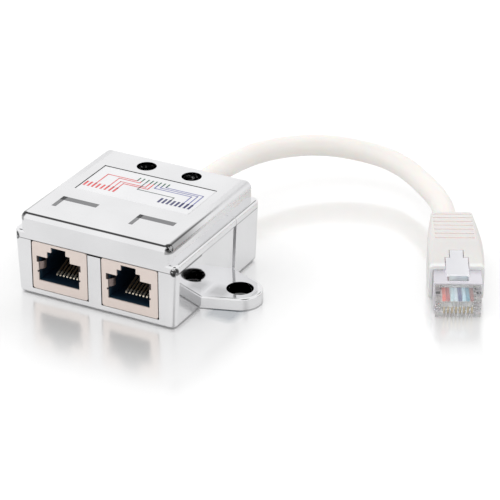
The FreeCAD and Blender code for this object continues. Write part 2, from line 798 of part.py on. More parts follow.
def make_plug_body():
    """Clear moulding: nose with eight blade slots, a channel for the conductors, latch root."""
    body = new_body("plug_body")
    side = outline(body, "plug_side", "YZ", 0,
                   [(0, 0), (size.nose_length, 0), (size.nose_length, size.body_foot),
                    (size.plug_length, size.body_foot), (size.plug_length, size.body_top),
                    (size.nose_length, size.body_top),
                    (size.nose_length, size.nose_height + size.nose_rise), (0, size.nose_height)])
    pad(body, side, size.plug_width, both_ways=True)
    channel = outline(body, "channel", "XZ", -size.plug_length,
                      block(-size.channel_width / 2, size.channel_width / 2,
                            size.channel_floor, size.channel_roof))
    pocket(body, channel, size.plug_length - size.channel_front, backwards=True)
    root = outline(body, "latch_root", "XY", size.body_top - size.body_foot,
                   block(-size.latch_root_half, size.latch_root_half,
                         size.latch_root_front, size.latch_root_back))
    pad(body, root, size.latch_root_top - size.body_top + size.body_foot)
    slot = outline(body, "blade_slot", "XY", 0,
                   block(way(0) - size.blade_slot / 2, way(0) + size.blade_slot / 2,
                         -size.blade_setback, size.blade_slot_length))
    cut = pocket(body, slot, size.blade_slot_height, backwards=True)
    repeat(body, [cut], "X", size.contact_spacing, WAYS)
    return body


def make_blades():
    """Eight gold blades, set back a little in the nose's slots."""
    body = new_body("plug_contacts")
    front, back = size.blade_setback, size.blade_slot_length - size.blade_setback
    top = size.blade_slot_height - size.snug_gap
    blade = outline(body, "blade", "YZ", way(0),
                    [(front, size.blade_foot, size.blade_round), (back, size.blade_foot),
                     (back, top), (front, top)])
    repeat(body, [pad(body, blade, size.blade_width, both_ways=True)], "X",
           size.contact_spacing, WAYS)
    return body


def make_plug_conductors():
    body = new_body("plug_conductors")
    radius = size.conductor_radius
    level = size.channel_front + size.blade_setback
    wire = circles(body, "conductor", "XZ", -level,
                   [(way(0), size.channel_floor + radius, radius)])
    tube = pad(body, wire, size.plug_length - level, backwards=True)
    repeat(body, [tube], "X", size.contact_spacing, WAYS)
    return body


def make_plug_shield():
    """Sheet-metal can round the plug, with a window for the latch's root."""
    body = new_body("plug_shield")
    inner_half = size.plug_width / 2 + size.snug_gap / 2
    low, high = size.body_foot - size.snug_gap / 2, size.body_top + size.snug_gap / 2
    outer_half = inner_half + size.plug_sheet - size.snug_gap / 2
    can = outline(body, "can", "XZ", -size.nose_length,
                  block(-outer_half, outer_half, low - size.plug_sheet, high + size.plug_sheet))
    pad(body, can, size.plug_length - size.nose_length, backwards=True)
    inside = outline(body, "can_inside", "XZ", -size.nose_length,
                     block(-inner_half, inner_half, low, high))
    pocket(body, inside, size.plug_length)
    window = outline(body, "window", "XY", high + 1,
                     block(-size.window_half, size.window_half,
                           size.window_front, size.window_back))
    pocket(body, window, 1 + size.plug_sheet)
    return body


def make_latch():
    """Latch lever: a broad arm that narrows to a thumb tail, rising towards the boot."""
    body = new_body("plug_latch")
    front = size.latch_root_back + size.running_gap
    slope = (size.latch_foot_back - size.latch_foot_front) / (size.latch_end - front)

    def foot(place):
        return size.latch_foot_front + slope * (place - front)

    for name, start, end, half in (
            ("latch_arm", front, size.latch_shoulder, size.latch_half),
            ("latch_tail", size.latch_shoulder - size.latch_thickness, size.latch_end,
             size.latch_tail_half)):
        bar = outline(body, name, "YZ", 0,
                      [(start, foot(start)), (end, foot(end)),
                       (end, foot(end) + size.latch_thickness),
                       (start, foot(start) + size.latch_thickness)])
        pad(body, bar, half * 2, both_ways=True)
    return body


def boot_top(place):
    """Height of the boot's top at a distance behind the nose, between two of its sections."""
    share = (place - size.boot_front) / size.boot_length
    for (near, _, _, low, _), (far, _, _, high, _) in zip(BOOT_SECTIONS, BOOT_SECTIONS[1:]):
        if near <= share.number <= far:
            return low + (high - low) * (share - near) / (far - near)
    return sized(BOOT_SECTIONS[-1][3])


def make_boot():
    """Moulded boot: lofted sleeve, grip grooves and a T-shaped slot that clears the latch."""
    body = new_body("plug_boot")
    sections = []
    for number, (share, half, low, high, corner) in enumerate(BOOT_SECTIONS):
        place = size.boot_front + size.boot_length * share
        sections.append(outline(body, f"boot_section_{number}", "XZ", -place,
                                block(-half, half, low, high, corner)))
    loft(body, sections)
    gap = size.boot_gap
    half = size.plug_width / 2 + size.plug_sheet + gap
    cavity = outline(body, "boot_cavity", "XZ", -size.boot_front,
                     block(-half, half, size.body_foot - size.plug_sheet - gap,
                           size.body_top + size.plug_sheet + gap))
    pocket(body, cavity, size.plug_length - size.boot_front + gap)
    slot_top = size.body_top + size.slot_clearance
    wide, slim = size.latch_half + size.running_gap, size.latch_tail_half + size.running_gap
    ledge, end = size.latch_shoulder + size.running_gap, size.latch_end + size.running_gap
    slot = outline(body, "latch_slot", "XY", slot_top,
                   [(-wide, size.boot_front - 1), (wide, size.boot_front - 1), (wide, ledge),
                    (slim, ledge), (slim, end), (-slim, end), (-slim, ledge), (-wide, ledge)])
    pocket(body, slot, slot_top - size.body_top - size.plug_sheet)
    for number in range(GROOVES):
        place = size.groove_first + size.groove_spacing * number
        groove = outline(body, f"groove_{number}", "XY", slot_top,
                         block(-size.groove_half, size.groove_half,
                               place - size.groove_width / 2, place + size.groove_width / 2))
        pocket(body, groove, slot_top - boot_top(place) + size.groove_depth)
    return body


def check():
    """Every object computed, every pocket removed material and every node is a valid solid."""
    for thing in doc.Objects:
        wrong = [state for state in thing.State if state in ("Invalid", "Error")]
        assert not wrong, f"{thing.Name} is {wrong}"
        if thing.TypeId == "PartDesign::Pocket":
            before = thing.BaseFeature.Shape.Volume
            assert thing.Shape.Volume < before - 1e-3, f"{thing.Name} removes nothing"
    for node in NODES:
        shape = node.Shape
        assert not shape.isNull() and shape.isValid() and shape.Solids, f"{node.Label} is not sound"


make_base()
make_lid()
make_label()
make_board()
for side_name, sign in sides():
    make_screw(f"lid_screw_{side_name}", sign)
    jack_middle = sign * size.jack_spacing / 2
    make_shield(f"{side_name}_jack_shield", jack_middle)
    make_insert(f"{side_name}_jack_insert", jack_middle)
    make_contacts(f"{side_name}_jack_contacts", jack_middle)
cable_gland()
make_board_wires()
make_cable()
for piece in (make_plug_body(), make_blades(), make_plug_conductors(), make_plug_shield(),
              make_latch(), make_boot()):
    piece.Placement = plug_placement()
doc.recompute()
check()

os.makedirs("parts", exist_ok=True)
for node in NODES:
    node.Shape.exportStep(f"parts/{node.Label}.step")
    print(node.Label, "volume", round(node.Shape.Volume, 2), "solids", len(node.Shape.Solids))
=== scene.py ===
# %% [markdown]
# The object is a network splitter: a chromed box with two sockets in front, a screw ear on each
# side, and a short white lead that ends in a plug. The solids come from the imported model, so this
# lesson starts by loading them as a fixed frame. Blender's own lengths are metres. The finishes
# are placed in millimetres, and the helpers that turn metres into millimetres say so.

# %% Load the frame
import math

import bpy
import numpy as np
from mathutils import Matrix, Vector


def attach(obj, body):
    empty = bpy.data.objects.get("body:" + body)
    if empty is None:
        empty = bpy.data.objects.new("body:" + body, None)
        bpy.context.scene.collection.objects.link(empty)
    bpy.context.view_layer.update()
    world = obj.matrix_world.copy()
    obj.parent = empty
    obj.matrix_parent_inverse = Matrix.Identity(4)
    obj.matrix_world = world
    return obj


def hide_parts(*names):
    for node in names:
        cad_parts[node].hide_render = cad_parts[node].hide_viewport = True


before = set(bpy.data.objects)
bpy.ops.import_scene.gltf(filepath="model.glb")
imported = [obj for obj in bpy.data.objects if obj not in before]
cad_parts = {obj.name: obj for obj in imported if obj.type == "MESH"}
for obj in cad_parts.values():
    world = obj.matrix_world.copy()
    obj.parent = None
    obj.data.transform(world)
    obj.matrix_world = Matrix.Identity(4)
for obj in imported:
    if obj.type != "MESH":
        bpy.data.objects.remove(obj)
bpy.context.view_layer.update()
scene = bpy.context.scene
scene.view_settings.view_transform = "Standard"
MM = 0.001

# %% [markdown]
# A product photograph is usually taken with a long lens from a little above. The camera stands
# 0.67 m away, turned 27.8 degrees to the right of the socket face and 27.1 degrees up. It is given
# by its back, right and up directions, which a rotation matrix takes as its columns. The focal
# length is known in pixels of the picture, and the sensor's width turns it into millimetres.

# %% Camera
TURN, LIFT = math.radians(27.8), math.radians(27.1)
REACH_BACK, REACH_RIGHT, REACH_UP = 0.66975, 0.02942, 0.00645
REACH_FROM = Vector((0, -0.5 * MM, 0))
FOCAL_PIXELS, PICTURE_PIXELS, SENSOR_WIDTH = 2533, 500, 36
back = Vector((math.sin(TURN) * math.cos(LIFT), -math.cos(TURN) * math.cos(LIFT), math.sin(LIFT)))
right = Vector((math.cos(TURN), math.sin(TURN), 0))
up = back.cross(right)
stand = back * REACH_BACK + right * REACH_RIGHT + up * REACH_UP + REACH_FROM
camera = bpy.data.objects.new("camera", bpy.data.cameras.new("camera"))
camera.data.lens = FOCAL_PIXELS * SENSOR_WIDTH / PICTURE_PIXELS
camera.matrix_world = Matrix.Translation(stand) @ Matrix((right, up, back)).transposed().to_4x4()
camera.data.clip_start, camera.data.clip_end = 0.01, 20
scene.collection.objects.link(camera)
scene.camera = camera
print("camera stands", round(stand.length, 3), "m from the foot's middle")

# %% [markdown]
# The lead is about 12 cm of round cable. It leaves the box level, turns down to the table in one
# loose curve and runs into the boot. A tube could be swept by hand, but a curve object keeps the
# line smooth, and its bevel gives the round section. Order 3 keeps the line near its few points.
# The tube's thickness is each point's radius times the bevel's depth. The radius holds all of it
# and the depth is 1, because a curve's bounding box grows by the points' radius alone.

# %% Lead
LEAD_RADIUS = 3.0 * MM
ROUTE = [
    (0.0, 0.0228, 0.0123), (0.0, 0.0355, 0.0123), (0.0018, 0.0511, 0.0123),
    (0.0063, 0.0641, 0.0117), (0.0163, 0.0754, 0.0106), (0.0294, 0.0790, 0.0094),
    (0.0402, 0.0775, 0.0086), (0.0532, 0.0675, 0.0083), (0.0627, 0.0566, 0.0091),
    (0.06654, 0.0491, 0.00814),
]
line = bpy.data.curves.new("lead", "CURVE")
line.dimensions = "3D"
spline = line.splines.new("NURBS")
spline.points.add(len(ROUTE) - 1)
for point, passed in zip(spline.points, ROUTE):
    point.co = (*passed, 1)
    point.radius = LEAD_RADIUS
spline.order_u = 3
spline.use_endpoint_u = True
spline.resolution_u = 24
line.bevel_depth = 1.0
line.bevel_resolution = 10
line.use_fill_caps = True
lead = bpy.data.objects.new("lead", line)
scene.collection.objects.link(lead)
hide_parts("cable")
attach(lead, "adapter")
print("lead has", len(ROUTE), "points")

# %% [markdown]
# A material is a small graph of nodes. Writing a graph out node by node is long and hard to read,
# so a few helpers come first. They make a Principled material with plain values on its own
# sockets, put a node in a graph, and fill its inputs with numbers or with links from other nodes.

# %% Helpers for materials
def node(tree, kind, inputs=(), **settings):
    """One node of the given kind; inputs maps a socket's name or number to a value or a link."""
    made = tree.nodes.new("ShaderNode" + kind)
    for name, value in settings.items():
        setattr(made, name, value)
    for socket, value in dict(inputs).items():
        if isinstance(value, bpy.types.NodeSocket):
            tree.links.new(value, made.inputs[socket])
        else:
            made.inputs[socket].default_value = value
    return made


def material(name, **values):
    """A Principled material; the keywords are its sockets, with _ for a space."""
    made = bpy.data.materials.new(name)
    made.use_nodes = True
    shader = made.node_tree.nodes["Principled BSDF"]
    for socket, value in values.items():
        shader.inputs[socket.replace("_", " ")].default_value = value
    return made, made.node_tree, shader


def dress(made, *names):
    """Puts a material in every slot of these nodes or pieces."""
    for name in names:
        piece = bpy.data.objects[name]
        if not piece.material_slots:
            piece.data.materials.append(made)
        for slot in piece.material_slots:
            slot.material = made


def feed(tree, shader, **links):
    """Joins outputs to the shader's sockets; the keywords are the sockets, with _ for a space."""
    for socket, link in links.items():
        tree.links.new(link, shader.inputs[socket.replace("_", " ")])


def grey(level):
    """An opaque colour with three equal channels."""
    return (level, level, level, 1.0)


print("helpers for materials")

# %% [markdown]
# Most of a finish here is arithmetic on masks, numbers from 0 to 1 that say where an effect is.
# Each step of it gets a short name, so that a finish can be read as a sentence: a product of masks
# is white where all of them are, and the most of them is white where any of them is.

# %% Helpers for masks
def maths(tree, operation, *values):
    """Output of a Math node on numbers or links."""
    return node(tree, "Math", enumerate(values), operation=operation).outputs[0]


def minus(tree, value, taken):
    """The value less what is taken from it."""
    return maths(tree, "SUBTRACT", value, taken)


def size(tree, value):
    """The value without its sign."""
    return maths(tree, "ABSOLUTE", value)


def inverse(tree, mask):
    """White where the mask is black."""
    return minus(tree, 1.0, mask)


def product(tree, first, *others):
    """All values multiplied together."""
    for other in others:
        first = maths(tree, "MULTIPLY", first, other)
    return first


def most(tree, first, *others):
    """The largest of the values at each point."""
    for other in others:
        first = maths(tree, "MAXIMUM", first, other)
    return first


def diagonal(tree, across, along):
    """Root of across squared plus along squared."""
    return maths(tree, "SQRT", maths(tree, "ADD", product(tree, across, across),
                                     product(tree, along, along)))


def ease(tree, value, start, end, low=0.0, high=1.0, kind="LINEAR"):
    """Runs from low to high while the value runs from start to end, and stays there beyond."""
    return node(tree, "MapRange", {0: value, 1: start, 2: end, 3: low, 4: high},
                interpolation_type=kind).outputs[0]


def repeat(tree, value, start, pitch):
    """Runs from 0 to 1 again and again, once for each pitch beyond the start."""
    return maths(tree, "FRACT", maths(tree, "DIVIDE", minus(tree, value, start), pitch))


def blend(tree, factor, low, high):
    """Colour between low and high."""
    return node(tree, "Mix", {0: factor, 6: low, 7: high}, data_type="RGBA").outputs[2]


def colour(tree, red, green, blue):
    """A colour from three values."""
    return node(tree, "CombineColor", {0: red, 1: green, 2: blue}).outputs[0]


def bump(tree, height, strength, distance=0.02 * MM):
    """A normal that leans as the height rises."""
    return node(tree, "Bump", {"Height": height, "Strength": strength,
                               "Distance": distance}).outputs[0]


print("helpers for masks")

# %% [markdown]
# Three effects return on many finishes, so each is a node group that is built once. The first is a
# soft-edged band: 1 where a value lies between two limits. The second is the faint unevenness of a
# moulded skin, a broad one for its tone and a fine one for its relief. The third turns a point into
# the plug's own frame, so that its rows, wires and slots can be coloured along and across the plug
# although it lies askew.

# %% Node groups
PLUG_FOOT = (0.08405, 0.01725, 0.0)
PLUG_TURN, PLUG_TILT = math.radians(-26.9), math.radians(-6.3)
BROAD_SCALE = 70.0


def new_group(name, inputs, outputs):
    """An empty group with its sockets: the tree, its input's outputs and its output's inputs."""
    tree = bpy.data.node_groups.new(name, "ShaderNodeTree")
    for direction, sockets in (("INPUT", inputs), ("OUTPUT", outputs)):
        for label, kind, *value in sockets:
            socket = tree.interface.new_socket(name=label, in_out=direction,
                                               socket_type="NodeSocket" + kind)
            if value:
                socket.default_value = value[0]
    return tree, tree.nodes.new("NodeGroupInput").outputs, tree.nodes.new("NodeGroupOutput").inputs


def use(tree, group, **inputs):
    """The group's outputs, with its inputs filled by name."""
    made = tree.nodes.new("ShaderNodeGroup")
    made.node_tree = group
    for label, value in inputs.items():
        socket = made.inputs[label]
        if isinstance(value, bpy.types.NodeSocket):
            tree.links.new(value, socket)
        else:
            socket.default_value = value
    return made.outputs


def scaled_parts(tree, vector):
    """The three parts of a vector in metres, in millimetres."""
    longer = node(tree, "VectorMath", {0: vector, "Scale": 1.0 / MM}, operation="SCALE")
    return node(tree, "SeparateXYZ", {0: longer.outputs[0]}).outputs


band, given, result = new_group(
    "soft_band", [("Value", "Float"), ("Low", "Float", 0.0), ("High", "Float", 1.0),
                  ("Softness", "Float", 0.05)], [("Mask", "Float")])
rise = ease(band, given["Value"], minus(band, given["Low"], given["Softness"]), given["Low"])
fall_end = maths(band, "ADD", given["High"], given["Softness"])
fall = ease(band, given["Value"], given["High"], fall_end, 1.0, 0.0)
band.links.new(product(band, rise, fall), result["Mask"])

skin, given, result = new_group(
    "moulded_skin", [("Scale", "Float", 900.0), ("Lowest", "Float", 0.9), ("Highest", "Float", 1.0)],
    [("Tone", "Float"), ("Height", "Float")])
position = node(skin, "TexCoord").outputs["Object"]
fine = node(skin, "TexNoise", {"Vector": position, "Scale": given["Scale"], "Detail": 3.0})
broad = node(skin, "TexNoise", {"Vector": position, "Scale": BROAD_SCALE, "Detail": 2.0})
skin.links.new(ease(skin, broad.outputs[0], 0.3, 0.7, given["Lowest"], given["Highest"]),
               result["Tone"])
skin.links.new(fine.outputs[0], result["Height"])

plug_frame, given, result = new_group(
    "plug_frame", [], [("Across", "Float"), ("Along", "Float"), ("Height", "Float")])
offset = node(plug_frame, "VectorMath", {0: node(plug_frame, "TexCoord").outputs["Object"],
                                         1: PLUG_FOOT}, operation="SUBTRACT")
turned = node(plug_frame, "VectorRotate", {"Vector": offset.outputs[0], "Angle": PLUG_TURN},
              rotation_type="Z_AXIS")
level = node(plug_frame, "VectorRotate", {"Vector": turned.outputs[0], "Angle": PLUG_TILT},
             rotation_type="X_AXIS")
for part, label in zip(scaled_parts(plug_frame, level.outputs[0]), ("Across", "Along", "Height")):
    plug_frame.links.new(part, result[label])
print("groups", band.name, skin.name, plug_frame.name)

# %% [markdown]
# A mark is put on a piece by its place. A dictionary holds the place of a surface point under plain
# names, and a block is a dictionary of bands on the same names, each band with its low limit, its
# high limit and its soft edge. That keeps every place a named value, and one function reads them.

# %% Places and blocks
def place_mm(tree):
    """Object coordinates in millimetres; aside is the distance from the box's middle."""
    x, y, z = scaled_parts(tree, node(tree, "TexCoord").outputs["Object"])
    return {"x": x, "y": y, "z": z, "aside": size(tree, x)}


def place_on_plug(tree):
    """The place in the plug's own frame in millimetres; aside is the distance from its middle."""
    across, along, height = use(tree, plug_frame)
    return {"across": across, "along": along, "height": height, "aside": size(tree, across)}


def upward(tree):
    """How far the surface faces up: 1 when level, 0 when upright, -1 underneath."""
    return node(tree, "SeparateXYZ", {0: node(tree, "NewGeometry").outputs["Normal"]}).outputs[2]


def between(tree, value, low, high, softness=0.05):
    """1 where the value lies between the limits, 0 outside them."""
    return use(tree, band, Value=value, Low=low, High=high, Softness=softness)["Mask"]


def inside(tree, at, block):
    """1 inside a block, 0 outside it: the product of its bands."""
    return product(tree, *(between(tree, at[name], *limits) for name, limits in block.items()))


def from_axes(tree, at, axes):
    """Distance in millimetres from the nearer of two upright axes, given as aside and y."""
    return diagonal(tree, minus(tree, at["aside"], axes[0]), minus(tree, at["y"], axes[1]))


def from_corner(tree, at, corner):
    """Distance in millimetres from a corner, given as aside, y and z, on either side."""
    gap = node(tree, "CombineXYZ", {0: minus(tree, at["aside"], corner[0]),
                                    1: minus(tree, at["y"], corner[1]),
                                    2: minus(tree, at["z"], corner[2])}).outputs[0]
    return node(tree, "VectorMath", {0: gap}, operation="LENGTH").outputs["Value"]


def mottled(tree, shader, scale, dull, bright, relief=0.0, lowest=0.0, highest=1.0):
    """Base colour that wanders from dull to bright with the skin's tone, and its relief as bump."""
    grain = use(tree, skin, Scale=scale, Lowest=lowest, Highest=highest)
    base = blend(tree, grain["Tone"], (*dull, 1), (*bright, 1))
    feed(tree, shader, Base_Color=base)
    if relief:
        feed(tree, shader, Normal=bump(tree, grain["Height"], relief))
    return base


print("places and blocks")

# %% [markdown]
# The housing is moulded plastic with a bright chrome plating. Chrome shows the room more than
# itself, so it is a very smooth metal, and its drawing comes from what stands round it. The plating
# is a little wavy, as moulded parts are. Deep bores and the steep walls of shallow recesses get
# hardly any light, so painted shade darkens them by their place, and a few specks in the bores are
# painted glints. Painted shade also lies in fine lines under the lip and at the side panel's end.
# The seam, the lid's flank and the ear's top mirror dark parts of a real room, which this white one
# lacks, so they get a painted dark reflection in the same way, and so do dark crumbs at the front
# corners. The plating is satin at the panel's step and on the lid's side edges near the back.
# Cutting each of these into the mesh would cost many faces, and masks by place cost none.

# %% Masks for the chrome
# Places in mm of painted shade, painted dark reflection and satin on the chrome.
SIDE_WALL = {"aside": (23.0, 24.6, 0.05)}
SEAM = {"z": (15.74, 15.86, 0.08)}
UNDER_LIP = {"z": (15.4, 15.8, 0.15), "y": (-22.9, 9.2, 0.05), **SIDE_WALL}
PANEL_END = {"y": (9.25, 9.33, 0.04), "z": (10.5, 15.8, 5.0), **SIDE_WALL}
PANEL_STEP = {"y": (9.1, 9.45, 0.03), **SIDE_WALL}
RECESSES = {"z": (22.2, 22.97, 0.02), "y": (-15.6, 12.1, 0.05), "aside": (-1.0, 17.1, 0.05)}
LABEL_BED = {"y": (-6.0, 12.1, 0.05)}
LID_FLANK = {"aside": (20.9, 22.3, 0.25), "z": (21.0, 22.9, 0.2)}
LID_EDGE = {"z": (21.4, 23.2, 0.05), "aside": (19.6, 22.6, 0.05)}
EAR_TOP = {"z": (3.0, 3.6, 0.1), "aside": (25.0, 28.0, 1.8), "y": (-5.6, -3.2, 3.0)}
LID_CORNER, LIP_CORNER = (21.1, -21.3, 22.0), (23.5, -22.4, 16.2)
FLANK_FADE, EDGE_RISE = (-17.0, -1.0, 1.0, 0.0, "SMOOTHSTEP"), (-8.0, 8.0)
RECESS_DEPTH = (0.0, 1.0, 0.62, 0.9)
CRUMB_SCALE, CRUMBS, CRUMB_REACH = 900.0, (0.42, 0.46), (1.1, 1.4, 1.0, 0.0)
LIP_SHARE, PANEL_SHARE, CRUMB_SHARE = 0.95, 0.6, 0.95
FLANK_SHARE, EAR_SHARE, EDGE_SHARE = 0.62, 0.32, 0.7


def reflection_and_shade_lines(tree, at, upright):
    """The seam round the box, a painted dark reflection, and painted shade in the finer lines under
    the lip and at the side panel's end.
    """
    return most(tree, product(tree, inside(tree, at, SEAM), upright),
                product(tree, inside(tree, at, UNDER_LIP), LIP_SHARE),
                product(tree, inside(tree, at, PANEL_END), PANEL_SHARE))


def recess_wall_shade(tree, at, upright):
    """Painted shade on the upright walls of the lid's shallow recesses, darkest round the label's
    bed.
    """
    depth = ease(tree, inside(tree, at, LABEL_BED), *RECESS_DEPTH)
    return product(tree, upright, inside(tree, at, RECESSES), depth)


def corner_reflection_specks(tree, at):
    """Painted dark reflection: crumbs of the fine noise within 1.4 mm of the lid's and the lip's
    front corners.
    """
    gap = maths(tree, "MINIMUM", from_corner(tree, at, LID_CORNER), from_corner(tree, at, LIP_CORNER))
    crumbs = ease(tree, use(tree, skin, Scale=CRUMB_SCALE)["Height"], *CRUMBS)
    return product(tree, ease(tree, gap, *CRUMB_REACH), crumbs, CRUMB_SHARE)


def dark_reflection_faces(tree, at):
    """Painted dark reflection on the lid's flanks, which fade towards the back, and the front of the
    ears' tops.
    """
    fading = ease(tree, at["y"], *FLANK_FADE)
    return most(tree, product(tree, inside(tree, at, LID_FLANK), fading, FLANK_SHARE),
                product(tree, inside(tree, at, EAR_TOP), EAR_SHARE))


def satin_places(tree, at):
    """The step behind the side panel, and the lid's side edges, more so towards the back."""
    rising = ease(tree, at["y"], *EDGE_RISE)
    return most(tree, inside(tree, at, PANEL_STEP),
                product(tree, inside(tree, at, LID_EDGE), rising, EDGE_SHARE))


print("five masks for the chrome")

# %% [markdown]
# The tray and the lid share one finish, and only their bores differ: an upright hole in each ear,
# and a sunk bore over each screw. The layers go from faint to deep, so that a deeper one covers
# what lies below it: faces with painted dark reflection, lines of painted dark reflection and
# painted shade, recesses with painted shade and corner specks of painted dark reflection, bores of
# painted shade, and the painted glints in the bores.

# %% Chrome
EAR_AXES, SCREW_AXES = (30.3, -0.4), (6.84, 16.5)
EAR_BORE_RADIUS, SCREW_BORE_RADIUS = 3.62, 2.72
LEVEL_FACE = (0.6, 2.0, 0.2)
DARK_REFLECTION_LEVEL, LINE_LEVEL, RECESS_SHADE_LEVEL, BORE_SHADE_LEVEL, GLINT_LEVEL = 0.12, 0.08, 0.03, 0.012, 0.6
MIRROR_ROUGHNESS, SATIN_ROUGHNESS = 0.07, 0.6
BORE_EDGE, LINE_SHARE, GLINT_SHARE = 0.04, 0.75, 0.8
GLINT_SCALE, GLINTS = 1300.0, (0.56, 0.62)
WAVE_SCALE, WAVE_LOW, WAVE_HIGH, WAVE_RELIEF, BLUE_CAST = 260.0, 0.80, 0.86, 0.12, 1.012


def chrome_finish(name, bore_axes, bore_radius):
    """Wavy mirror metal with painted shade, painted dark reflection and painted glints, satin places,
    and bores of black painted shade about two axes.
    """
    made, tree, shader = material(name, Metallic=1.0)
    at = place_mm(tree)
    upright = inverse(tree, between(tree, size(tree, upward(tree)), *LEVEL_FACE))
    from_bore = from_axes(tree, at, bore_axes)
    bore = product(tree, between(tree, from_bore, -1.0, bore_radius, BORE_EDGE), upright)
    glints = ease(tree, use(tree, skin, Scale=GLINT_SCALE)["Height"], *GLINTS)
    wave = use(tree, skin, Scale=WAVE_SCALE, Lowest=WAVE_LOW, Highest=WAVE_HIGH)
    lines = product(tree, reflection_and_shade_lines(tree, at, upright), LINE_SHARE)
    deep = most(tree, recess_wall_shade(tree, at, upright), corner_reflection_specks(tree, at))
    tone = colour(tree, wave["Tone"], wave["Tone"], product(tree, wave["Tone"], BLUE_CAST))
    # Painted dark reflection first, then lines, painted shade in recesses and bores, and painted
    # glints.
    tone = blend(tree, dark_reflection_faces(tree, at), tone, grey(DARK_REFLECTION_LEVEL))
    tone = blend(tree, lines, tone, grey(LINE_LEVEL))
    tone = blend(tree, deep, tone, grey(RECESS_SHADE_LEVEL))
    tone = blend(tree, bore, tone, grey(BORE_SHADE_LEVEL))
    tone = blend(tree, product(tree, bore, glints, GLINT_SHARE), tone, grey(GLINT_LEVEL))
    rough = ease(tree, satin_places(tree, at), 0.0, 1.0, MIRROR_ROUGHNESS, SATIN_ROUGHNESS)
    feed(tree, shader, Base_Color=tone, Roughness=rough,
         Normal=bump(tree, wave["Height"], WAVE_RELIEF))
    return made


dress(chrome_finish("plated_chrome", EAR_AXES, EAR_BORE_RADIUS), "base_housing")
dress(chrome_finish("plated_chrome_lid", SCREW_AXES, SCREW_BORE_RADIUS), "lid")
print("chrome on the tray and the lid")

# %% [markdown]
# The two screws sit deep in their bores and are blackened steel. On the crown the fine noise of
# the skin is cut to small pale specks: painted glints, for the highlights of the screw heads.

# %% Screws
CROWN_RADIUS = 2.2
blackened, tree, shader = material("blackened_screw", Metallic=1.0, Roughness=0.22)
steel_tone_and_glints = use(tree, skin, Scale=1500.0, Lowest=0.05, Highest=0.3)
# Painted glints: pale specks on the crown.
specks = ease(tree, steel_tone_and_glints["Height"], 0.52, 0.62)
crown = between(tree, from_axes(tree, place_mm(tree), SCREW_AXES), -1.0, CROWN_RADIUS, 0.3)
steel = colour(tree, steel_tone_and_glints["Tone"], steel_tone_and_glints["Tone"], steel_tone_and_glints["Tone"])
feed(tree, shader, Base_Color=blend(tree, product(tree, crown, specks), steel, grey(0.9)),
     Normal=bump(tree, steel_tone_and_glints["Height"], 0.3))
dress(blackened, "lid_screw_left", "lid_screw_right")
print("two blackened screws")

# %% [markdown]
# Each socket is wrapped in thin tinned sheet, whose face looks warm because it mirrors the room
# softly. Two small notches beside the opening, where springy tabs are bent inwards, are painted
# dark by their place, painted shade for the dark inside a cut: they are too fine to cut in the solid.
# Behind its face the sheet lies in the dark, so it is painted dark there: painted shade. The moulding
# inside is dark navy, and its rim is painted lighter where it catches some light: painted light.

# %% Socket sheet and moulding
SOCKET_SHIFT, SOCKET_ASIDE = 0.3, 10.4
SHEET_FACE = {"y": (-30.0, -22.45, 0.05)}
SHEET_INSIDE = {"y": (-22.40, 0.0, 0.05)}
SHOULDER_NOTCH = {"z": (9.9, 11.6, 0.06), "reach": (0.0, 6.6, 0.06), **SHEET_FACE}
SLOT_NOTCH = {"z": (7.0, 7.45, 0.06), "reach": (0.0, 6.42, 0.06), **SHEET_FACE}
MOULDING_RIM = {"y": (-30.0, -21.6, 0.8)}

sheet_metal, tree, shader = material("socket_sheet", Metallic=0.25, Roughness=0.42)
at = place_mm(tree)
shifted = maths(tree, "ADD", at["x"], SOCKET_SHIFT)
at["reach"] = size(tree, minus(tree, size(tree, shifted), SOCKET_ASIDE))
tinned = mottled(tree, shader, 1200.0, (0.76, 0.645, 0.59), (0.87, 0.76, 0.70), 0.15, 0.93)
# Painted shade: the sheet behind its face is dark.
tinned = blend(tree, inside(tree, at, SHEET_INSIDE), tinned, (0.05, 0.04, 0.04, 1))
# Painted shade in the two notches.
notches = most(tree, inside(tree, at, SHOULDER_NOTCH), inside(tree, at, SLOT_NOTCH))
feed(tree, shader, Base_Color=blend(tree, notches, tinned, (0.035, 0.022, 0.02, 1)))
dress(sheet_metal, "left_jack_shield", "right_jack_shield")

navy, tree, shader = material("socket_moulding", Roughness=0.38)
dull = use(tree, skin, Scale=1600.0, Lowest=0.0, Highest=1.0)
rim = inside(tree, place_mm(tree), MOULDING_RIM)
# Painted light: the moulding is lighter at its rim.
feed(tree, shader, Normal=bump(tree, dull["Height"], 0.2), Base_Color=blend(
    tree, product(tree, rim, dull["Tone"]), (0.006, 0.016, 0.032, 1), (0.02, 0.055, 0.09, 1)))
dress(navy, "left_jack_insert", "right_jack_insert")
print("sockets dressed")

# %% [markdown]
# In each socket a springy earthing tab bows inwards from the sheet beside the opening. It could be
# bent from a flat strip, but a formula says it all: the strip starts at the wall, swells into the
# socket like half a sine wave and comes back. A Solidify modifier gives it the sheet's thickness.

# %% Earthing tabs
SOCKET_MIDDLES = (("left", -10.7), ("right", 10.1))
TAB_FROM_MIDDLE, TAB_FOOT, TAB_FRONT = 6.05, 7.6, -22.35
TAB_LENGTH, TAB_HEIGHT, TAB_BOW, TAB_THICKNESS = 3.0, 2.2, 0.95, 0.2
TAB_ROWS, TAB_COLUMNS = 17, 5


def grid_mesh(name, points):
    """Mesh over a grid of points, rows by columns, with one four-sided face per cell."""
    rows, columns = points.shape[:2]
    index = np.arange(rows * columns).reshape(rows, columns)
    faces = np.stack([index[:-1, :-1], index[1:, :-1], index[1:, 1:], index[:-1, 1:]], axis=-1)
    mesh = bpy.data.meshes.new(name)
    mesh.from_pydata(points.reshape(-1, 3).tolist(), [], faces.reshape(-1, 4).tolist())
    mesh.update()
    return mesh


